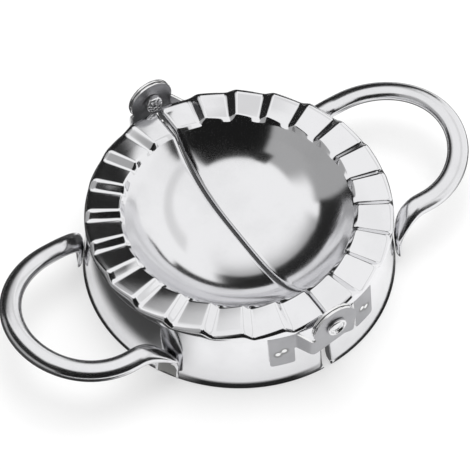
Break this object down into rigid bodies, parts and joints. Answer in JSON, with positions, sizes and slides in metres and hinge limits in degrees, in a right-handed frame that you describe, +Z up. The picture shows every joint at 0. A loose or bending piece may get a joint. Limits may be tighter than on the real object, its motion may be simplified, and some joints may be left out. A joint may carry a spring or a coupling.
{
  "type": "folding ravioli stamp",
  "caption": "Folding stainless-steel ravioli and dumpling press lying open: half bowls with crimped rims on cutter skirts, joined by riveted hinges, with a loop handle on each half",
  "frame": {"origin": "On the table at the middle of the ring, under the bowl: the middle of the bottom of the bounding box", "axes": "+Z up from the table; the hinge line and the parting line run along Y; the handles stand out along X, the right half's at +X"},
  "size_m": [0.1638, 0.1072, 0.0335],
  "materials": {
    "press_steel": "polished sheet",
    "tube_steel": "polished tube",
    "hinge_steel": "satin, as stamped"
  },
  "bodies": {
    "left_half": {"left_press_plate": "press_steel", "left_cutter_skirt": "press_steel", "left_handle": "tube_steel", "left_inner_hinge_bracket": "hinge_steel", "left_outer_hinge_bracket": "hinge_steel", "near_hinge_rivet": "hinge_steel", "far_hinge_rivet": "hinge_steel"},
    "right_half": {"right_press_plate": "press_steel", "right_cutter_skirt": "press_steel", "right_handle": "tube_steel", "right_inner_hinge_bracket": "hinge_steel", "right_outer_hinge_bracket": "hinge_steel"}
  },
  "joints": [
    {"name": "fold", "type": "hinge", "parent": "left_half", "child": "right_half", "pos_m": [0, 0, 0.0261], "axis": [0, -1, 0], "range_deg": [0, 178]}
  ]
}
